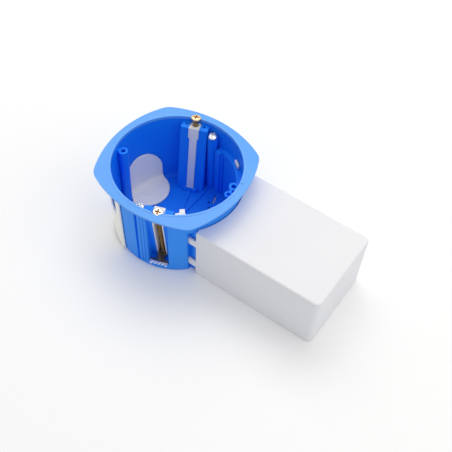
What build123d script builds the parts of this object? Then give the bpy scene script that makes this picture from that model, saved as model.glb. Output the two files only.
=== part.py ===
from build123d import *
from math import cos, radians, sin
import os

os.makedirs("parts", exist_ok=True)

# The pot: a round tapered bowl with its origin on the axis at the base
height = 46.0
rim_radius = 32.9
wall = 1.1
draft = 1.0
floor_thickness = 1.8
floor_round = 3.0
base_round = 0.8

# The square flange with bulging sides
flange_half_width = 37.1
flange_side_radius = 60.3
flange_corner_round = 8.0
flange_thickness = 1.6
flange_fall = 0.6
flange_line_start = 0.6
flange_line_width = 0.35
flange_line_depth = 0.4

# Device screws on the standard centres, in columns at the wall
screw_centres = 60.0
device_angles = {"back": 90.0, "front": 270.0}
device_column_radius = 2.8
device_column_drop = 6.2
device_shaft_radius = 1.5
device_shaft_length = 15.0
device_bore_spare = 4.5
device_head_radius = 2.6
device_head_height = 1.8
device_head_round = 0.7
recess_width = 0.8
recess_reach = 1.6
recess_depth = 1.0
running_clearance = 0.08
seat_clearance = 0.1

# Two empty columns on a line turned from the pocket's direction
spare_angle = 14.2
spare_column_radius = 2.45
spare_hole_radius = 1.25
spare_column_drop = 4.0
spare_hole_depth = 20.0
spare_web_width = 2.1

# The open loop beside one empty column
loop_angle = 3.3
loop_ring = 29.9
loop_outer_radius = 1.9
loop_inner_radius = 1.0
loop_height = 2.0
loop_mouth = 1.2
loop_bridge_width = 1.2

# Claw units: screw, guide and claw lean outwards at the top
claw_angles = {"back": 110.0, "front": 290.0}
claw_lift = {"back": 3.8, "front": 0.0}
lean = 9.5
axis_ring = 31.4
tower_half_width = 7.2
tower_drop = 3.0
tower_front = 3.2
tower_hole_ring = 30.7
tower_hole_offset = 4.7
tower_hole_radius = 0.7
tower_hole_depth = 6.0
lip = 0.5
claw_shaft_radius = 1.5
claw_head_radius = 2.6
claw_head_height = 1.5
claw_head_round = 0.4
claw_head_gap = 0.35
claw_seat_drop = 3.2
claw_screw_foot_room = 5.8
bulge_wall = 0.8
guide_front = 3.6
guide_half_width = 2.75
guide_block_height = 6.3
guide_block_back = 2.4
guide_rib_half_width = 2.0
guide_web = 0.5
guide_rail = 0.65
guide_rail_back = 2.6
slot_half_width = 5.2
slot_bottom = 4.5
slot_drop = 6.5
foot_half_width = 3.8
foot_height = 2.4
foot_wall = 0.8

# The claw: a threaded barrel carrying a toothed plate
claw_foot_room = 6.4
barrel_radius = 1.9
barrel_height = 4.5
plate_thickness = 1.2
plate_reach = 9.9
plate_neck_half_width = 1.95
plate_neck_end = 7.0
plate_half_width = 4.6
tooth_count = 5
tooth_depth = 1.1
tooth_tip = 0.1

# The pocket: a side box entered through a neck on the pot
pocket_start = 28.2
pocket_end = 98.0
pocket_near = -22.3
pocket_far = 26.6
pocket_height = 34.0
pocket_wall = 1.5
pocket_corner_round = 3.0
pocket_edge_round = 1.0
pocket_gap = 0.5
neck_clearance = 0.15
neck_wall = 1.3
neck_end = 38.5
cheek_end = 23.7
cheek_wall = 1.2
cheek_top = 33.4

# Snap plates of the pocket, in line with its sides, each ending in a hook
strap_thickness = 1.2
strap_height = 4.4
strap_low = 5.5
strap_high = 22.4
window_gap = 0.3
near_plate = (17.8, 21.8)
near_plate_drop = 3.5
near_hook_angle = 312.0
near_hook_half_width = 1.25
near_hook_tip = 26.7
near_hook_heel = 30.6
near_hook_foot_end = 3.6
near_hook_foot_front = 29.0
near_hook_height = 3.0
far_plate = (18.5, 19.6)
far_tongue = 0.6
far_hook_angle = 53.5
far_hook_half_width = 2.4
far_hook_tip = 31.2
far_hook_heel = 32.2
far_hook_height = 2.0
far_hook_lift = 0.5

# Ledge and removable panel between the pot and the neck
ledge_radius = 29.9
ledge_height = 34.0
ledge_start_angle = -60.0
ledge_end_angle = 76.5
bar_start_angle = 76.5
bar_end_angle = 83.5
bar_radius = 28.1
bar_height = 33.0
panel_thickness = 1.2
panel_gap = 0.35
panel_start_angle = 19.9
panel_end_angle = 75.8
keeper_span = 3.0
keeper_back_span = 5.0
keeper_thickness = 0.75
keeper_gap_angle = 1.0

# Soft entries across the corner between wall and floor
membrane_angles = {"back": 168.0, "front": 228.4}
membrane_half_width = 12.6
membrane_top = 24.2
membrane_centre = 27.0
membrane_skin = 0.8
membrane_gap = 0.35
membrane_overlap = 1.15
membrane_ring_wall = 1.0
cover_half_width = 13.4
cover_top = 26.0
cover_round = 10.0
cover_bottom = 1.0
cover_tab_start = 10.2
cover_tab_drop = 5.5
bump_radii = (4.8, 2.7)
bump_height = 0.2

# Marks on the outer wall and the floor
groove_half_width = 0.85
groove_depth = 1.5
groove_bottom = 1.5
groove_drop = 7.5
flute_angles = (274.5, 277.5, 280.5)
flute_width = 0.5
flute_depth = 0.3
flute_bottom = 2.0
flute_drop = 4.0
floor_rib_width = 1.5
floor_rib_height = 0.9
drain_slot = ((6.6, 25.6), (8.8, 19.4))
drain_slot_width = 1.2
drain_holes = ((6.7, 19.0), (8.8, 15.8))
drain_hole_radius = 0.8

STAND = (Align.CENTER, Align.CENTER, Align.MIN)
HANG = (Align.CENTER, Align.CENTER, Align.MAX)
reach = pocket_end + height
cut_over = 0.5
screw_ring = screw_centres / 2


def cavity_radius(level):
    """Inner radius of the pot at a height above the base."""
    return rim_radius - draft * (height - level) / height


def pot_form(offset, bottom, rounding, top=height):
    """Tapered round solid whose side lies an offset outside the cavity's side."""
    low = cavity_radius(bottom) + offset
    high = cavity_radius(top) + offset
    solid = Pos(0, 0, bottom) * Cone(low, high, top - bottom, align=STAND)
    if rounding > 0:
        solid = fillet(solid.edges().group_by(Axis.Z)[0], rounding)
    return solid


def block(x1, x2, y1, y2, z1, z2):
    """Box between two corners."""
    return Pos((x1 + x2) / 2, (y1 + y2) / 2, (z1 + z2) / 2) * Box(x2 - x1, y2 - y1, z2 - z1)


def slab(z1, z2):
    """Everything between two heights."""
    return block(-reach, reach, -reach, reach, z1, z2)


def post(x, y, radius, z1, z2):
    """Upright cylinder between two heights."""
    return Pos(x, y, z1) * Cylinder(radius, z2 - z1, align=STAND)


def polar(radius, angle):
    """Point of the plan at a radius and an angle."""
    return radius * cos(radians(angle)), radius * sin(radians(angle))


def sector(inner, outer, start, end, z1, z2):
    """Piece of a ring between two angles and two heights."""
    middle = (start + end) / 2
    face = make_face(
        Line(polar(inner, start), polar(outer, start))
        + ThreePointArc(polar(outer, start), polar(outer, middle), polar(outer, end))
        + Line(polar(outer, end), polar(inner, end))
        + ThreePointArc(polar(inner, end), polar(inner, middle), polar(inner, start))
    )
    return extrude(Pos(0, 0, z1) * face, z2 - z1)


def bar_between(start, end, width, z1, z2):
    """Straight bar on the plan from one point to another."""
    run = Vector(end[0] - start[0], end[1] - start[1])
    turn = Vector(1, 0).get_signed_angle(run, Vector(0, 0, 1))
    middle = ((start[0] + end[0]) / 2, (start[1] + end[1]) / 2, z1)
    return Location(middle, (0, 0, turn)) * Box(run.length, width, z2 - z1, align=STAND)


def claw_place(name):
    """Placement of a claw unit: its Z runs up the screw, its X points outwards."""
    return Rot(0, 0, claw_angles[name]) * Pos(axis_ring, 0, height) * Rot(0, lean, 0)


def cross_recess(top):
    """Cross cut into a screw head."""
    arm = Box(2 * recess_reach, recess_width, recess_depth, align=HANG)
    return Pos(0, 0, top) * (arm + Rot(0, 0, 90) * arm)


def keyhole(half_width, top, depth):
    """Selector for a soft entry: an arch over the wall and a round end on the floor."""
    arch_centre = top - half_width
    arch = Pos(membrane_centre, 0, arch_centre) * Rot(0, 90, 0) * Cylinder(half_width, depth, align=STAND)
    sides = block(membrane_centre, membrane_centre + depth, -half_width, half_width, -depth, arch_centre)
    end = post(membrane_centre, 0, half_width, -depth, arch_centre)
    return arch + sides + end


# Housing
outer = pot_form(wall, 0, base_round)
cavity = pot_form(0, floor_thickness, floor_round, height + 1)
inside = pot_form(wall / 2, floor_thickness / 2, 0)
above_floor = slab(floor_thickness, height + 1)
side_step = flange_side_radius - flange_half_width
outline = Pos(-side_step, 0) * Circle(flange_side_radius)
for quarter in (90, 180, 270):
    outline &= Pos(*polar(side_step, quarter + 180)) * Circle(flange_side_radius)
outline = fillet(outline.vertices(), flange_corner_round)
flange = extrude(Pos(0, 0, height - flange_thickness) * outline, flange_thickness)
slope_end = flange_half_width + flange_corner_round
slope_drop = flange_fall * (slope_end - rim_radius) / (flange_half_width - rim_radius)
slope = make_face(
    Polyline(
        (rim_radius, 0, height),
        (slope_end, 0, height),
        (slope_end, 0, height - slope_drop),
        close=True,
    )
)
flange -= revolve(slope, Axis.Z)
housing = outer + flange - cavity

# Neck, its ledge and the cheek corner
neck_near = pocket_near + pocket_wall + neck_clearance
neck_far = pocket_far - pocket_wall - neck_clearance
neck_low = pocket_wall + neck_clearance
neck_high = pocket_height - pocket_wall - neck_clearance
cheek_inner = cheek_end - cheek_wall
ledge_low = neck_high - neck_wall
panel_back = ledge_radius + panel_thickness + panel_gap
housing -= block(cheek_end, reach, -reach, neck_near, -1, cheek_top)
housing += block(cheek_inner, cheek_end, -reach, neck_near, 0, cheek_top) & outer
neck = block(cheek_inner, neck_end, neck_near, neck_far, neck_low, neck_high)
neck -= post(0, 0, panel_back, 0, ledge_low)
neck -= post(0, 0, ledge_radius, 0, height)
housing += neck
ledge = sector(ledge_radius, reach, ledge_start_angle, ledge_end_angle, ledge_low, ledge_height)
ledge = ledge - block(0, cheek_inner, -reach, 0, 0, height)
housing += ledge & pot_form(wall / 2, 0, 0)
tunnel = block(
    cheek_inner - neck_wall, reach, neck_near + neck_wall, neck_far - neck_wall, neck_low + neck_wall, ledge_low
)
housing -= tunnel

# Bar and keepers that hold the panel
panel_front = ledge_radius - seat_clearance
keeper_front = panel_front - keeper_thickness
keeper_edge = panel_start_angle - keeper_gap_angle
bar = sector(bar_radius, reach, bar_start_angle, bar_end_angle, 0, bar_height)
bar += sector(panel_back, reach, bar_start_angle - keeper_back_span, bar_start_angle, 0, ledge_low)
bar += sector(panel_back, reach, keeper_edge - keeper_span, keeper_edge + keeper_span, 0, ledge_low)
housing += bar & inside
far_keeper = (bar_start_angle - keeper_span, bar_start_angle)
near_keeper = (keeper_edge - keeper_span, keeper_edge + keeper_span)
for start, end in (far_keeper, near_keeper):
    housing += sector(keeper_front, panel_front, start, end, floor_thickness / 2, ledge_low)

# Columns for the device screws and the empty columns
column_top = height - device_column_drop
spare_top = height - spare_column_drop
for angle in device_angles.values():
    x, y = polar(screw_ring, angle)
    housing += post(x, y, device_column_radius, floor_thickness / 2, column_top)
for angle in (spare_angle, spare_angle + 180):
    x, y = polar(screw_ring, angle)
    housing += post(x, y, spare_column_radius, floor_thickness / 2, spare_top)
    web = block(screw_ring, rim_radius + wall, -spare_web_width / 2, spare_web_width / 2, floor_thickness, spare_top)
    housing += Rot(0, 0, angle) * web & inside

# Claw towers
slot_top = height - slot_drop
bulge_radius = claw_head_radius + claw_head_gap + bulge_wall
foot_room = guide_front + seat_clearance
for name in claw_angles:
    place = claw_place(name)
    tower = place * block(-tower_front, reach, -tower_half_width, tower_half_width, -reach, 0)
    tower &= pot_form(wall / 2, floor_thickness / 2, 0, height - tower_drop)
    housing += tower
    bulge = post(0, 0, bulge_radius, -2 * claw_seat_drop, 0) & block(-tower_front, reach, -reach, reach, -reach, 0)
    housing += place * bulge & slab(slot_top, height - flange_thickness / 2)
    foot = place * block(-foot_room - foot_wall, 0, -foot_half_width, foot_half_width, -reach, 0)
    housing += foot & slab(floor_thickness / 2, floor_thickness + foot_height)
housing -= pot_form(0, slot_top, 0, height + 1) & slab(height - tower_drop, height + 1)
guide_fit = guide_half_width + seat_clearance
rib_fit = guide_rib_half_width + seat_clearance
block_low = -claw_seat_drop - guide_block_height - seat_clearance
web_front = tower_front - lip + seat_clearance / 2
for name in claw_angles:
    place = claw_place(name)
    head_room = post(0, 0, claw_head_radius + claw_head_gap, -claw_seat_drop - seat_clearance, reach)
    block_room = block(-foot_room, guide_block_back + seat_clearance, -guide_fit, guide_fit, block_low, height)
    channel = block(-web_front, guide_rail_back + seat_clearance, -guide_fit, guide_fit, -reach, block_low + 1)
    window = block(-foot_room, 0, -rib_fit, rib_fit, -reach, block_low + 1)
    slot = block(guide_rail_back, reach, -slot_half_width, slot_half_width, -reach, 0)
    outwards = Rot(0, 0, claw_angles[name]) * block(0, reach, -reach, reach, 0, height)
    housing -= place * head_room
    housing -= place * block_room & slab(0, height - tower_drop + 1)
    housing -= place * (channel + window) & above_floor
    housing -= place * slot & outwards & slab(slot_bottom, slot_top)
    hole_low = height - tower_drop - tower_hole_depth
    for offset in (-tower_hole_offset, tower_hole_offset):
        hole = post(tower_hole_ring, offset, tower_hole_radius, hole_low, height)
        housing -= Rot(0, 0, claw_angles[name]) * hole

# Bores of the columns
for angle in device_angles.values():
    x, y = polar(screw_ring, angle)
    bore_low = column_top - device_shaft_length - device_bore_spare
    housing -= post(x, y, device_shaft_radius + running_clearance, bore_low, height)
for angle in (spare_angle, spare_angle + 180):
    x, y = polar(screw_ring, angle)
    housing -= post(x, y, spare_hole_radius, spare_top - spare_hole_depth, height)

# Open loop, bridged to the empty column beside it
x, y = polar(loop_ring, loop_angle)
spare_point = polar(screw_ring, spare_angle)
loop_low = spare_top - loop_height
loop = bar_between((x, y), spare_point, loop_bridge_width, loop_low, spare_top)
loop -= post(*spare_point, (spare_hole_radius + spare_column_radius) / 2, 0, height)
loop += post(x, y, loop_outer_radius, loop_low, spare_top)
loop -= post(x, y, loop_inner_radius, 0, height)
loop -= Rot(0, 0, loop_angle) * block(loop_ring, reach, -loop_mouth / 2, loop_mouth / 2, 0, height)
housing += loop

# Windows for the pocket's snap plates
straps = (strap_low, strap_high)
strap_end = strap_high + strap_height
near_plate_top = height - near_plate_drop
far_hook_top = ledge_height + far_hook_lift + far_hook_height
far_inner = pocket_far - strap_thickness
near_room = (pocket_near - window_gap, neck_near)
far_room = (far_inner - window_gap, pocket_far + window_gap)
far_slot = (far_plate[0] - window_gap, far_plate[1] + window_gap)
for low in straps:
    window_low = low - window_gap
    window_high = low + strap_height + window_gap
    housing -= block(cheek_inner - cut_over, cheek_end + cut_over, *near_room, window_low, window_high)
    housing -= block(far_plate[1] - cut_over, neck_end, *far_room, window_low, window_high) - tunnel
housing -= block(*far_slot, far_room[0], reach, strap_low - window_gap, strap_end + window_gap)
housing -= block(*far_slot, far_room[0], far_inner + far_tongue + window_gap, strap_low, far_hook_top + 1)

# Openings for the soft entries
for angle in membrane_angles.values():
    opening = keyhole(membrane_half_width - membrane_overlap, membrane_top - membrane_overlap, 2 * height)
    opening = Rot(0, 0, angle) * opening
    for spare in (spare_angle, spare_angle + 180):
        opening -= post(*polar(screw_ring, spare), spare_column_radius, 0, height)
    housing -= opening

# Marks
groove_floor = groove_depth - rim_radius - wall
groove_top = height - groove_drop
housing -= block(-groove_half_width, groove_half_width, -reach, groove_floor, groove_bottom, groove_top)
for angle in flute_angles:
    flute = block(0, reach, -flute_width / 2, flute_width / 2, flute_bottom, height - flute_drop)
    housing -= Rot(0, 0, angle) * flute - pot_form(wall - flute_depth, 0, 0)
foot_ring = axis_ring - (height * sin(radians(lean)) + foot_room) / cos(radians(lean))
rib_low = floor_thickness / 2
rib_high = floor_thickness + floor_rib_height
for name in claw_angles:
    housing += bar_between((0, 0), polar(foot_ring, claw_angles[name]), floor_rib_width, rib_low, rib_high)
    housing += bar_between((0, 0), polar(screw_ring, device_angles[name]), floor_rib_width, rib_low, rib_high)
housing -= bar_between(*drain_slot, drain_slot_width, -1, floor_thickness + 1)
for x, y in drain_holes:
    housing -= post(x, y, drain_hole_radius, -1, floor_thickness + 1)
top_skin = slab(height - flange_line_depth, height + 1)
for angle in (spare_angle, spare_angle + 180):
    line = block(rim_radius + flange_line_start, reach, -flange_line_width / 2, flange_line_width / 2, 0, reach)
    housing -= Rot(0, 0, angle) * line & top_skin

# Removable panel
panel = sector(
    ledge_radius, ledge_radius + panel_thickness, panel_start_angle, panel_end_angle,
    floor_thickness + seat_clearance, ledge_low - seat_clearance,
)
panel &= pot_form(-seat_clearance, floor_thickness + seat_clearance, floor_round)

# Pocket
pocket = block(pocket_start, pocket_end, pocket_near, pocket_far, 0, pocket_height)
pocket = fillet(pocket.edges().filter_by(Axis.Z).group_by(Axis.X)[-1], pocket_corner_round)
pocket = fillet(pocket.edges().group_by(Axis.Z)[-1].sort_by(Axis.X)[1:], pocket_edge_round)
pocket = fillet(pocket.edges().group_by(Axis.Z)[0].sort_by(Axis.X)[1:], base_round)
hollow = block(
    0, pocket_end - pocket_wall, pocket_near + pocket_wall, pocket_far - pocket_wall,
    pocket_wall, pocket_height - pocket_wall,
)
hollow = fillet(hollow.edges().filter_by(Axis.Z).group_by(Axis.X)[-1], pocket_corner_round - pocket_wall)
pocket -= hollow
pocket -= pot_form(wall + pocket_gap, -1, 0, height)
near_side = (pocket_near, pocket_near + strap_thickness)
far_side = (far_inner, pocket_far)
for low in straps:
    pocket += block(near_plate[0], pocket_start + 1, *near_side, low, low + strap_height)
    pocket += block(far_plate[0], pocket_start + 1, *far_side, low, low + strap_height)
near_hook_low = near_plate_top - near_hook_height
near_hook = block(
    near_hook_tip, near_hook_heel, -near_hook_half_width, near_hook_half_width, near_hook_low, near_plate_top
)
near_hook += block(
    near_hook_foot_front, near_hook_heel, -near_hook_foot_end, near_hook_half_width, near_hook_low, near_plate_top
)
pocket += block(*near_plate, *near_side, strap_low, near_plate_top)
pocket += Rot(0, 0, near_hook_angle) * near_hook
pocket += block(*far_plate, *far_side, strap_low, strap_end)
pocket += block(*far_plate, far_inner, far_inner + far_tongue, strap_low, far_hook_top)
pocket += Rot(0, 0, far_hook_angle) * block(
    far_hook_tip, far_hook_heel, -far_hook_half_width, far_hook_half_width, ledge_height + far_hook_lift, far_hook_top
)

# Soft entries
membranes = {}
skin_floor = floor_thickness + membrane_gap
skin_top = skin_floor + membrane_skin
skin_outer = pot_form(-membrane_gap, skin_floor, floor_round - membrane_gap, height)
skin_inner = pot_form(-membrane_gap - membrane_skin, skin_top, floor_round - membrane_gap - membrane_skin, height)
cover_outer = pot_form(wall + membrane_gap + membrane_skin, 0, 0)
cover_inner = pot_form(wall + membrane_gap, -1, 0)
ring_outer = membrane_half_width - membrane_overlap - membrane_gap
ring_top = membrane_top - membrane_overlap - membrane_gap
for name, angle in membrane_angles.items():
    skin = (skin_outer - skin_inner) & keyhole(membrane_half_width, membrane_top, 2 * height)
    ring = keyhole(ring_outer, ring_top, 2 * height)
    ring -= keyhole(ring_outer - membrane_ring_wall, ring_top - membrane_ring_wall, 2 * height)
    ring &= pot_form(wall + membrane_gap + membrane_skin / 2, membrane_gap, 0) - skin_inner
    cover = block(0, reach, -cover_half_width, cover_half_width, cover_bottom, cover_top)
    cover = fillet(cover.edges().filter_by(Axis.X).group_by(Axis.Z)[-1].sort_by(Axis.Y)[0], cover_round)
    cover += block(0, reach, cover_tab_start, cover_half_width, cover_bottom, height - cover_tab_drop)
    cover &= cover_outer - cover_inner
    entry = skin + ring + cover
    for level, radius in enumerate(bump_radii):
        entry += post(membrane_centre, 0, radius, skin_floor, skin_top + (level + 1) * bump_height) & skin_outer
    entry = Rot(0, 0, angle) * entry
    for spare in (spare_angle, spare_angle + 180):
        entry -= post(*polar(screw_ring, spare), spare_column_radius + membrane_gap, 0, height)
    membranes[name] = entry

# Claw guides
guides = {}
seat = -claw_seat_drop
block_bottom = seat - guide_block_height
web_face = -tower_front + lip + seat_clearance
rail_face = guide_half_width - guide_rail
for name in claw_angles:
    place = claw_place(name)
    guide = block(-guide_front, guide_block_back, -guide_half_width, guide_half_width, block_bottom, seat)
    guide += block(web_face, web_face + guide_web, -guide_half_width, guide_half_width, -reach, block_bottom)
    guide += block(-guide_front, web_face, -guide_rib_half_width, guide_rib_half_width, -reach, block_bottom)
    guide += block(web_face, guide_rail_back, -guide_half_width, -rail_face, -reach, block_bottom)
    guide += block(web_face, guide_rail_back, rail_face, guide_half_width, -reach, block_bottom)
    guide -= post(0, 0, claw_shaft_radius + running_clearance, -reach, 0)
    guide_limit = place.inverse() * slab(floor_thickness + seat_clearance, height)
    guides[name] = place * (guide & guide_limit)

# Claw screws and claws
claw_screws = {}
claws = {}
claw_screw_length = height - claw_screw_foot_room
claw_level = claw_foot_room - height
head_seat = seat + seat_clearance
head_top = head_seat + claw_head_height
plate_low = claw_level - plate_thickness / 2
plate_high = claw_level + plate_thickness / 2
tooth_pitch = 2 * plate_half_width / tooth_count
notch_half_width = (tooth_pitch - tooth_tip) / 2
for name in claw_angles:
    place = claw_place(name) * Pos(0, 0, claw_lift[name])
    head = post(0, 0, claw_head_radius, head_seat, head_top)
    head = fillet(head.edges().group_by(Axis.Z)[-1], claw_head_round)
    shaft = post(0, 0, claw_shaft_radius, head_seat - claw_screw_length, head_seat)
    claw_screws[name] = place * (head + shaft - cross_recess(head_top))
    claw = post(0, 0, barrel_radius, claw_level - barrel_height / 2, claw_level + barrel_height / 2)
    claw += block(0, plate_neck_end, -plate_neck_half_width, plate_neck_half_width, plate_low, plate_high)
    claw += block(plate_neck_end, plate_reach, -plate_half_width, plate_half_width, plate_low, plate_high)
    for index in range(1, tooth_count):
        valley = index * tooth_pitch - plate_half_width
        notch = make_face(
            Polyline(
                (plate_reach - tooth_depth, valley),
                (plate_reach, valley - notch_half_width),
                (plate_reach + cut_over, valley),
                (plate_reach, valley + notch_half_width),
                close=True,
            )
        )
        claw -= extrude(Pos(0, 0, plate_low) * notch, plate_thickness)
    claw -= post(0, 0, claw_shaft_radius + running_clearance, -reach, 0)
    claws[name] = place * claw

# Device screws
device_screws = {}
device_seat = column_top + seat_clearance
device_top = device_seat + device_head_height
for name, angle in device_angles.items():
    head = post(0, 0, device_head_radius, device_seat, device_top)
    head = fillet(head.edges().group_by(Axis.Z)[-1], device_head_round)
    shaft = post(0, 0, device_shaft_radius, device_seat - device_shaft_length, device_seat)
    device_screws[name] = Pos(*polar(screw_ring, angle)) * (head + shaft - cross_recess(device_top))

nodes = {"housing": housing, "pocket": pocket, "partition_panel": panel}
for name in claw_angles:
    nodes["membrane_" + name] = membranes[name]
    nodes["claw_guide_" + name] = guides[name]
    nodes["claw_screw_" + name] = claw_screws[name]
    nodes["claw_" + name] = claws[name]
    nodes["device_screw_" + name] = device_screws[name]
for name, shape in nodes.items():
    print(name, len(shape.solids()), round(sum(solid.volume for solid in shape.solids()), 1))
    export_step(shape, "parts/" + name + ".step")
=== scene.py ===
import math

import bmesh
import bpy
from mathutils import Matrix, Vector


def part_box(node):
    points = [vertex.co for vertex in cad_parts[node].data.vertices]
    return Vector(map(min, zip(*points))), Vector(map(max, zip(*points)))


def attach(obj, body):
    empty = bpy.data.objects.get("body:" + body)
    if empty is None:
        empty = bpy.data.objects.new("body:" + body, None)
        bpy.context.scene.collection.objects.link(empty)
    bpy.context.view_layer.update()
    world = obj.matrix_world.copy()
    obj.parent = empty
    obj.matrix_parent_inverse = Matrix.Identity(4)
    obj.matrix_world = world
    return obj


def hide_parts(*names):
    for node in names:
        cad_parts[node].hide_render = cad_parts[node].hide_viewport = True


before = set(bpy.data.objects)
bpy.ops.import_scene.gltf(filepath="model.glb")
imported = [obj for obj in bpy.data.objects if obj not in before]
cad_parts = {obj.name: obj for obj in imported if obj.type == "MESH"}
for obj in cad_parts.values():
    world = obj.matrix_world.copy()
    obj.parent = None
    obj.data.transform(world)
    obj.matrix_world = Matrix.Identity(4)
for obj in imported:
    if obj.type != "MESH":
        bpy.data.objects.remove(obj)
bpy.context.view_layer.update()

MM = 0.001

# The box's own sizes, in metres, as the frame holds them
RIM_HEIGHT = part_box("housing")[1].z
FLANGE_DEPTH = 1.6 * MM
# Radius beyond which the outer wall is painted lighter: painted light
WALL_RING = 33.1 * MM
WALL_BLEND = 0.3 * MM
# Radius beyond which the claw is painted bright at its teeth: partly bare metal, partly painted highlight
TOOTH_RING = 33.4 * MM
TOOTH_BLEND = 0.4 * MM
CLAW_RING = 31.4 * MM
CLAW_LEAN = math.radians(9.5)
CLAW_ANGLES = {"back": math.radians(110), "front": math.radians(290)}
CLAW_LIFT = {"back": 3.8 * MM, "front": 0.0}
CLAW_SEAT = -3.1 * MM
SCREW_RING = 30.0 * MM
SCREW_SIDES = {"back": 1, "front": -1}
DEVICE_SEAT = 39.9 * MM

# Screws: radius, length and pitch of the shaft, radius and height of the head, share that is domed
CLAW_SCREW = (1.5 * MM, 40.2 * MM, 1.25 * MM, 2.6 * MM, 1.5 * MM, 0.35)
DEVICE_SCREW = (1.5 * MM, 15 * MM, 0.5 * MM, 2.6 * MM, 1.8 * MM, 0.6)
CORE_SHARE = 0.84
TURNING_STEPS = 40
THREAD_STEPS = 24
RIDGE_SIDES = 6

# The cross recess: half length and width as shares of the head's radius, depth of its height
RECESS_ARM = 0.72
RECESS_WIDTH = 0.34
RECESS_DEPTH = 0.62
RECESS_FOOT_ARM = 0.55
RECESS_FOOT_WIDTH = 0.3
RECESS_ABOVE = 0.4

# The surroundings: how strongly the sky lights, and from where to where the floor whitens
SKY_LIGHT = 0.57
FLOOR_HALF = 3
NEAR_FLOOR = 180 * MM
FAR_FLOOR = 600 * MM

# Lamps: azimuth and elevation in degrees, side in metres, power in watts, colour
LAMP_DISTANCE = 1.1
LAMP_AIM = Vector((25 * MM, 0, 20 * MM))
LAMPS = {
    "back_lamp": (105, 62, 0.7, 2.75, (1.0, 0.99, 0.97)),
    "left_lamp": (150, 50, 0.8, 2.4, (1.0, 0.99, 0.98)),
    "right_lamp": (10, 50, 1.0, 2.5, (1.0, 0.99, 0.98)),
}

# The camera at the photograph's angle
FOCAL_PIXELS = 739.507
PICTURE_PIXELS = 452
AZIMUTH = math.radians(29.4986)
ELEVATION = math.radians(53.3861)
ROLL = math.radians(6.1453)
DISTANCE = 366.602 * MM
ACROSS = 34.2145 * MM
ALONG = -39.1674 * MM
CENTRE_PIXEL = (246.66, 241.886)
SENSOR_WIDTH = 36


# Shader maths

class Wire:
    """A socket of a finish that takes part in sums."""

    def __init__(self, finish, socket):
        self.finish = finish
        self.socket = socket

    def _sum(self, operation, first, second):
        return self.finish.node("ShaderNodeMath", {"operation": operation}, {0: first, 1: second})

    def __add__(self, other):
        return self._sum("ADD", self, other)

    def __radd__(self, other):
        return self._sum("ADD", other, self)

    def __mul__(self, other):
        return self._sum("MULTIPLY", self, other)


class Finish:
    """The shader nodes of a material or of the surroundings, under construction."""

    def __init__(self, owner):
        owner.use_nodes = True
        self.owner = owner
        self.tree = owner.node_tree
        self.tree.nodes.clear()

    def node(self, kind, settings=None, inputs=None, output=0):
        """Adds one node, sets it, feeds it, and gives back one of its outputs."""
        made = self.tree.nodes.new(kind)
        for name, value in (settings or {}).items():
            setattr(made, name, value)
        for name, value in (inputs or {}).items():
            if isinstance(value, Wire):
                self.tree.links.new(value.socket, made.inputs[name])
            elif isinstance(value, tuple):
                made.inputs[name].default_value = (*value, 1.0)
            else:
                made.inputs[name].default_value = value
        return Wire(self, made.outputs[output]) if made.outputs else None

    def ray(self, kind):
        """1 for rays of one kind."""
        return self.node("ShaderNodeLightPath", output="Is %s Ray" % kind)

    def seen(self):
        """1 for what is looked at, straight or in a mirror, and 0 for what only lights."""
        return self.step(self.ray("Camera") + self.ray("Glossy") + self.ray("Transmission"), 0.0, 1.0)

    def place(self):
        """The point on the piece, in metres."""
        return self.node("ShaderNodeTexCoord", output="Object")

    def axis(self, index):
        """One coordinate of the point on the piece."""
        return self.node("ShaderNodeSeparateXYZ", {}, {0: self.place()}, index)

    def noise(self, size, detail=2.0):
        """Noise whose grains are a size in metres across."""
        return self.node("ShaderNodeTexNoise", {}, {
            "Vector": self.place(), "Scale": 1 / size, "Detail": detail, "Roughness": 0.5,
        })

    def step(self, value, low, high):
        """Rises from 0 to 1 as the value goes from low to high."""
        feeds = {0: value, 1: low, 2: high}
        return self.node("ShaderNodeMapRange", {"interpolation_type": "SMOOTHSTEP"}, feeds)

    def beyond(self, low, high):
        """Rises from 0 to 1 as the distance from the pot's axis goes from low to high."""
        across = self.axis(0)
        along = self.axis(1)
        return self.step(across * across + along * along, low ** 2, high ** 2)

    def blend(self, amount, first, second):
        """Colour between two others."""
        return self.node("ShaderNodeMix", {"data_type": "RGBA"}, {0: amount, 6: first, 7: second}, 2)

    def bump(self, height, strength, distance, round_edges):
        """Surface relief, over edges rounded by a radius."""
        edges = self.node("ShaderNodeBevel", {"samples": 6}, {"Radius": round_edges})
        feeds = {"Height": height, "Strength": strength, "Distance": distance, "Normal": edges}
        return self.node("ShaderNodeBump", {}, feeds)

    def surface(self, **inputs):
        """Ends a material with its surface shader."""
        named = {name.replace("_", " "): value for name, value in inputs.items()}
        shader = self.node("ShaderNodeBsdfPrincipled", {}, named)
        self.node("ShaderNodeOutputMaterial", {}, {"Surface": shader})
        return self.owner


# Finishes

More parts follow.
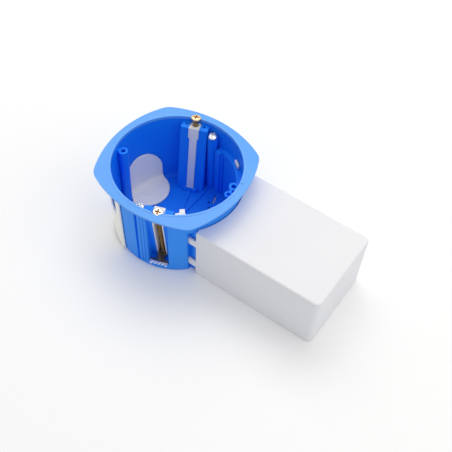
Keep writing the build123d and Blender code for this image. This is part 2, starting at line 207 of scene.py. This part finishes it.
def blue_moulding():
    """Satin blue plastic. The thin flange is painted paler and the outer wall painted lighter than the
    inside: painted light.
    """
    finish = Finish(bpy.data.materials.new("blue_moulding"))
    flange_low = RIM_HEIGHT - FLANGE_DEPTH * 1.05
    flange_high = RIM_HEIGHT - FLANGE_DEPTH * 0.95
    flange = finish.step(finish.axis(2), flange_low, flange_high)
    flow = finish.noise(18 * MM)
    grain = finish.noise(0.35 * MM)
    deep = finish.blend(flow, (0.004, 0.215, 0.96), (0.008, 0.24, 1.0))
    # Painted light: the flange's paler blue stands in for the light falling on it.
    painted_light_flange = finish.blend(flow, (0.094, 0.365, 0.94), (0.114, 0.395, 0.97))
    # Painted light: the outer wall is painted a lighter blue than the inside.
    outside = finish.beyond(WALL_RING - WALL_BLEND, WALL_RING)
    painted_light_outside = finish.blend(outside, deep, (0.04, 0.31, 1.0))
    colour = finish.blend(flange, painted_light_outside, painted_light_flange)
    relief = finish.bump(grain, 0.12, 0.05 * MM, 0.14 * MM)
    return finish.surface(
        Base_Color=colour, Roughness=0.4 + grain * 0.12, Normal=relief, Specular_IOR_Level=0.16,
        Coat_Weight=flange * 0.55, Coat_Roughness=0.3,
    )


def white_moulding():
    """Fine matt white plastic."""
    finish = Finish(bpy.data.materials.new("white_moulding"))
    flow = finish.noise(25 * MM)
    grain = finish.noise(0.28 * MM)
    colour = finish.blend(flow, (0.83, 0.83, 0.855), (0.86, 0.86, 0.875))
    relief = finish.bump(grain, 0.15, 0.05 * MM, 0.3 * MM)
    return finish.surface(Base_Color=colour, Roughness=0.48 + grain * 0.12, Normal=relief)


def soft_entry():
    """Milky soft elastomer."""
    finish = Finish(bpy.data.materials.new("soft_entry"))
    cloud = finish.noise(6 * MM, 3.0)
    grain = finish.noise(0.5 * MM)
    colour = finish.blend(cloud, (0.98, 0.95, 0.87), (1.0, 0.985, 0.91))
    relief = finish.bump(grain, 0.2, 0.06 * MM, 0.3 * MM)
    return finish.surface(Base_Color=colour, Roughness=0.42 + cloud * 0.12, Normal=relief)


def plated(name, dark, bright, gloss):
    """Plated steel with fine draw marks."""
    finish = Finish(bpy.data.materials.new(name))
    cloud = finish.noise(1.6 * MM, 3.0)
    marks = finish.noise(0.12 * MM)
    colour = finish.blend(cloud, dark, bright)
    relief = finish.bump(marks, 0.25, 0.03 * MM, 0.08 * MM)
    return finish.surface(
        Base_Color=colour, Metallic=0.9 + cloud * 0.1, Roughness=gloss + marks * 0.15, Normal=relief,
    )


def claw_steel():
    """Plated steel painted dark, painted shade, and bright at the sheared teeth, partly bare metal and
    partly a painted highlight.
    """
    finish = Finish(bpy.data.materials.new("claw_steel"))
    cloud = finish.noise(1.6 * MM, 3.0)
    # Painted shade on the plate, painted highlight along the teeth.
    teeth = finish.beyond(TOOTH_RING - TOOTH_BLEND, TOOTH_RING)
    painted_shade_plate = finish.blend(cloud, (0.12, 0.1, 0.08), (0.3, 0.27, 0.22))
    colour = finish.blend(teeth, painted_shade_plate, (0.93, 0.94, 0.96))
    relief = finish.bump(cloud, 0.2, 0.05 * MM, 0.1 * MM)
    return finish.surface(Base_Color=colour, Metallic=0.9, Roughness=0.2 + teeth * 0.15, Normal=relief)


def floor_finish():
    """White ground that shows pure white to the eye and keeps its shadows."""
    finish = Finish(bpy.data.materials.new("ground"))
    colour = finish.blend(finish.seen(), (0.9, 0.915, 0.95), (1.0, 1.0, 1.0))
    far = finish.beyond(NEAR_FLOOR, FAR_FLOOR)
    glow = finish.blend(far * finish.ray("Camera"), (0.0, 0.0, 0.0), (0.6, 0.6, 0.6))
    return finish.surface(
        Base_Color=colour, Roughness=0.9, Specular_IOR_Level=0.0, Emission_Color=glow, Emission_Strength=1.0,
    )


# Meshes

def join_mesh(name, build, place, *materials):
    """Object made of one mesh whose points are put in place."""
    mesh = bpy.data.meshes.new(name)
    work = bmesh.new()
    build(work)
    bmesh.ops.remove_doubles(work, verts=work.verts, dist=1e-7)
    bmesh.ops.recalc_face_normals(work, faces=work.faces)
    bmesh.ops.transform(work, matrix=place, verts=work.verts)
    work.to_mesh(mesh)
    work.free()
    for material in materials:
        mesh.materials.append(material)
    made = bpy.data.objects.new(name, mesh)
    bpy.context.scene.collection.objects.link(made)
    return made


def turned(work, profile, steps):
    """Turns a profile of (radius, height) points round the upright axis."""
    rows = []
    for radius, height in profile:
        if radius < 1e-9:
            rows.append([work.verts.new((0, 0, height))] * steps)
            continue
        ring = []
        for step in range(steps):
            turn = 2 * math.pi * step / steps
            ring.append(work.verts.new((radius * math.cos(turn), radius * math.sin(turn), height)))
        rows.append(ring)
    for low, high in zip(rows, rows[1:]):
        for step in range(steps):
            after = (step + 1) % steps
            corners = []
            for vert in (low[step], low[after], high[after], high[step]):
                if vert not in corners:
                    corners.append(vert)
            if len(corners) > 2:
                face = work.faces.new(corners)
                face.smooth = True


def freeze(source):
    """Makes an object a plain mesh with its modifiers carried out."""
    graph = bpy.context.evaluated_depsgraph_get()
    mesh = bpy.data.meshes.new_from_object(source.evaluated_get(graph))
    source.modifiers.clear()
    source.data = mesh


def thread_tree():
    """Geometry tree: a ridge that winds round a shaft."""
    tree = bpy.data.node_groups.new("cut_thread", "GeometryNodeTree")
    face = tree.interface
    for name in ("Radius", "Pitch", "Turns", "Ridge"):
        face.new_socket(name, in_out="INPUT", socket_type="NodeSocketFloat")
    face.new_socket("Finish", in_out="INPUT", socket_type="NodeSocketMaterial")
    face.new_socket("Thread", in_out="OUTPUT", socket_type="NodeSocketGeometry")
    nodes = tree.nodes
    links = tree.links
    given = nodes.new("NodeGroupInput")
    result = nodes.new("NodeGroupOutput")
    length = nodes.new("ShaderNodeMath")
    length.operation = "MULTIPLY"
    links.new(given.outputs["Pitch"], length.inputs[0])
    links.new(given.outputs["Turns"], length.inputs[1])
    spiral = nodes.new("GeometryNodeCurveSpiral")
    spiral.inputs["Resolution"].default_value = THREAD_STEPS
    links.new(given.outputs["Turns"], spiral.inputs["Rotations"])
    links.new(given.outputs["Radius"], spiral.inputs["Start Radius"])
    links.new(given.outputs["Radius"], spiral.inputs["End Radius"])
    links.new(length.outputs[0], spiral.inputs["Height"])
    upright = nodes.new("GeometryNodeSetCurveNormal")
    upright.mode = "Z_UP"
    links.new(spiral.outputs["Curve"], upright.inputs["Curve"])
    section = nodes.new("GeometryNodeCurvePrimitiveCircle")
    section.inputs["Resolution"].default_value = RIDGE_SIDES
    links.new(given.outputs["Ridge"], section.inputs["Radius"])
    sweep = nodes.new("GeometryNodeCurveToMesh")
    sweep.inputs["Fill Caps"].default_value = True
    links.new(upright.outputs["Curve"], sweep.inputs["Curve"])
    links.new(section.outputs["Curve"], sweep.inputs["Profile Curve"])
    real = nodes.new("GeometryNodeRealizeInstances")
    links.new(sweep.outputs["Mesh"], real.inputs["Geometry"])
    paint = nodes.new("GeometryNodeSetMaterial")
    links.new(real.outputs["Geometry"], paint.inputs["Geometry"])
    links.new(given.outputs["Finish"], paint.inputs["Material"])
    links.new(paint.outputs["Geometry"], result.inputs["Thread"])
    return tree


def fill_inputs(modifier, values):
    """Sets a geometry modifier's inputs through their identifiers."""
    for item in modifier.node_group.interface.items_tree:
        if item.item_type == "SOCKET" and item.in_out == "INPUT" and item.name in values:
            modifier[item.identifier] = values[item.name]


def cut_cross(piece, place, head, head_height, finish):
    """Cuts a tapered cross recess, with a finish of its own, into a screw head."""
    arm = head * RECESS_ARM
    width = head * RECESS_WIDTH
    depth = head_height * RECESS_DEPTH

    def cross(work):
        for turn in (0, math.pi / 2):
            turning = Matrix.Rotation(turn, 4, "Z")
            foot = []
            mouth = []
            for x, y in ((-1, -1), (1, -1), (1, 1), (-1, 1)):
                low = Vector((x * RECESS_FOOT_ARM * arm, y * RECESS_FOOT_WIDTH * width, head_height - depth))
                high = Vector((x * arm, y * width / 2, head_height + depth * RECESS_ABOVE))
                foot.append(work.verts.new(turning @ low))
                mouth.append(work.verts.new(turning @ high))
            work.faces.new(foot[::-1])
            work.faces.new(mouth)
            for index in range(4):
                after = (index + 1) % 4
                work.faces.new((foot[index], foot[after], mouth[after], mouth[index]))

    cutter = join_mesh("cross_cutter", cross, place, finish)
    cut = piece.modifiers.new("recess", "BOOLEAN")
    cut.operation = "DIFFERENCE"
    cut.solver = "EXACT"
    cut.material_mode = "TRANSFER"
    cut.use_self = True
    cut.object = cutter
    freeze(piece)
    bpy.data.objects.remove(cutter)


def screw(node, place, sizes, finishes, threads):
    """Screw that stands for a CAD screw: its origin is the underside of its head."""
    shaft, length, pitch, head, head_height, dome = sizes
    head_finish, shaft_finish, recess_finish = finishes
    core = shaft * CORE_SHARE
    ridge = shaft - core

    def body(work):
        rim = head_height * (1 - dome)
        rise = head_height - rim
        tip = [(0, -length), (core * 0.6, -length), (core, -length + core * 0.5)]
        neck = [(core, -pitch * 1.5), (core * 1.08, -pitch * 0.4), (core * 1.12, 0)]
        side = [(head * 0.94, 0), (head, head_height * 0.08), (head, rim * 0.86), (head * 0.985, rim)]
        top = [(head * 0.86, rim + rise * 0.55), (head * 0.6, rim + rise * 0.9), (head * 0.3, head_height)]
        turned(work, tip + neck + side + top + [(0, head_height)], TURNING_STEPS)

    piece = join_mesh(node + "_turned", body, place, head_finish, shaft_finish)
    home = place.inverted()
    for polygon in piece.data.polygons:
        polygon.material_index = 1 if (home @ polygon.center).z < -pitch * 0.2 else 0
    cut_cross(piece, place, head, head_height, recess_finish)
    coil = bpy.data.objects.new(node + "_thread", bpy.data.meshes.new(node + "_thread"))
    bpy.context.scene.collection.objects.link(coil)
    modifier = coil.modifiers.new("thread", "NODES")
    modifier.node_group = threads
    fill_inputs(modifier, {
        "Radius": core + ridge * 0.2, "Pitch": pitch, "Turns": (length - core) / pitch - 1,
        "Ridge": ridge * 0.8, "Finish": shaft_finish,
    })
    freeze(coil)
    coil.data.transform(place @ Matrix.Translation((0, 0, -length + core * 0.7)))
    for polygon in coil.data.polygons:
        polygon.use_smooth = True
    for part in (piece, coil):
        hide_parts(node)
        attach(part, node)


# The camera and the surroundings

def photo_camera():
    """Camera placed from the axis of the pot at the height of its rim."""
    flat = math.cos(ELEVATION)
    back = Vector((math.sin(AZIMUTH) * flat, -math.cos(AZIMUTH) * flat, math.sin(ELEVATION)))
    level = Vector((math.cos(AZIMUTH), math.sin(AZIMUTH), 0))
    rise = back.cross(level)
    right = level * math.cos(ROLL) + rise * math.sin(ROLL)
    up = rise * math.cos(ROLL) - level * math.sin(ROLL)
    data = bpy.data.cameras.new("photo_camera")
    data.sensor_width = SENSOR_WIDTH
    data.lens = FOCAL_PIXELS / PICTURE_PIXELS * SENSOR_WIDTH
    data.shift_x = 0.5 - CENTRE_PIXEL[0] / PICTURE_PIXELS
    data.shift_y = CENTRE_PIXEL[1] / PICTURE_PIXELS - 0.5
    data.clip_start = 0.01
    data.clip_end = 20
    camera = bpy.data.objects.new("photo_camera", data)
    bpy.context.scene.collection.objects.link(camera)
    place = Vector((0, 0, RIM_HEIGHT)) + back * DISTANCE + right * ACROSS + up * ALONG
    turn = Matrix((right, up, back)).transposed().to_4x4()
    camera.matrix_world = Matrix.Translation(place) @ turn
    bpy.context.scene.camera = camera


def lamp(name, azimuth, elevation, size, power, colour):
    """Square lamp that looks at the box."""
    data = bpy.data.lights.new(name, "AREA")
    data.size = size
    data.energy = power
    data.color = colour
    made = bpy.data.objects.new(name, data)
    bpy.context.scene.collection.objects.link(made)
    across = math.radians(azimuth)
    rise = math.radians(elevation)
    flat = math.cos(rise)
    way = Vector((flat * math.cos(across), flat * math.sin(across), math.sin(rise)))
    made.location = way * LAMP_DISTANCE + LAMP_AIM
    made.rotation_mode = "QUATERNION"
    made.rotation_quaternion = way.to_track_quat("Z", "Y")


def ground():
    """White floor in the plane of the box's base."""
    def sheet(work):
        bmesh.ops.create_grid(work, x_segments=1, y_segments=1, size=FLOOR_HALF)

    ground = join_mesh("ground", sheet, Matrix.Identity(4), floor_finish())


def surroundings():
    """Even white surroundings that light less than they show."""
    finish = Finish(bpy.data.worlds.new("surroundings"))
    strength = SKY_LIGHT + finish.seen() * (1 - SKY_LIGHT)
    sky = finish.node("ShaderNodeBackground", {}, {"Color": (1.0, 1.0, 1.0), "Strength": strength})
    finish.node("ShaderNodeOutputWorld", {}, {"Surface": sky})
    bpy.context.scene.world = finish.owner


# The box

blue = blue_moulding()
white = white_moulding()
milky = soft_entry()
toothed = claw_steel()
zinc = plated("plated_steel", (0.66, 0.67, 0.7), (0.88, 0.89, 0.91), 0.14)
yellow = plated("yellow_plated_steel", (0.78, 0.68, 0.5), (0.95, 0.91, 0.82), 0.12)
# The back claw screw's head: the same yellow plating, painted deeper gold as a painted reflection
painted_reflection_gold = plated("yellow_plated_painted_reflection", (0.72, 0.44, 0.2), (0.93, 0.72, 0.45), 0.2)
# The claw screws' shafts: the yellow plating painted dark, painted shade in the threads and the slot
painted_shade_thread = plated("yellow_thread_painted_shade", (0.2, 0.12, 0.05), (0.42, 0.3, 0.15), 0.16)
# The claw screws' cross recesses: painted darker orange-brown, painted shade in the recess
painted_shade_recess = plated("recess_painted_shade", (0.4, 0.15, 0.03), (0.58, 0.27, 0.08), 0.45)
node_finishes = {
    "housing": blue,
    "partition_panel": blue,
    "pocket": white,
    "claw_guide_back": white,
    "claw_guide_front": white,
    "membrane_back": milky,
    "membrane_front": milky,
    "claw_back": toothed,
    "claw_front": toothed,
}
for node, finish in node_finishes.items():
    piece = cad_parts[node]
    piece.data.materials.clear()
    piece.data.materials.append(finish)

threads = thread_tree()
# The back head's gold is a painted reflection; both heads are yellow plated.
claw_heads = {"back": painted_reflection_gold, "front": yellow}
for side, angle in CLAW_ANGLES.items():
    foot = Matrix.Rotation(angle, 4, "Z") @ Matrix.Translation((CLAW_RING, 0, RIM_HEIGHT))
    lean = foot @ Matrix.Rotation(CLAW_LEAN, 4, "Y")
    seat = lean @ Matrix.Translation((0, 0, CLAW_SEAT + CLAW_LIFT[side]))
    # The dark shafts and brown cross recesses are painted shade.
    screw("claw_screw_" + side, seat, CLAW_SCREW, (claw_heads[side], painted_shade_thread, painted_shade_recess), threads)
for side, direction in SCREW_SIDES.items():
    seat = Matrix.Translation((0, direction * SCREW_RING, DEVICE_SEAT))
    screw("device_screw_" + side, seat, DEVICE_SCREW, (zinc, zinc, zinc), threads)

photo_camera()
ground()
surroundings()
for name, settings in LAMPS.items():
    lamp(name, *settings)
bpy.context.scene.view_settings.view_transform = "Standard"
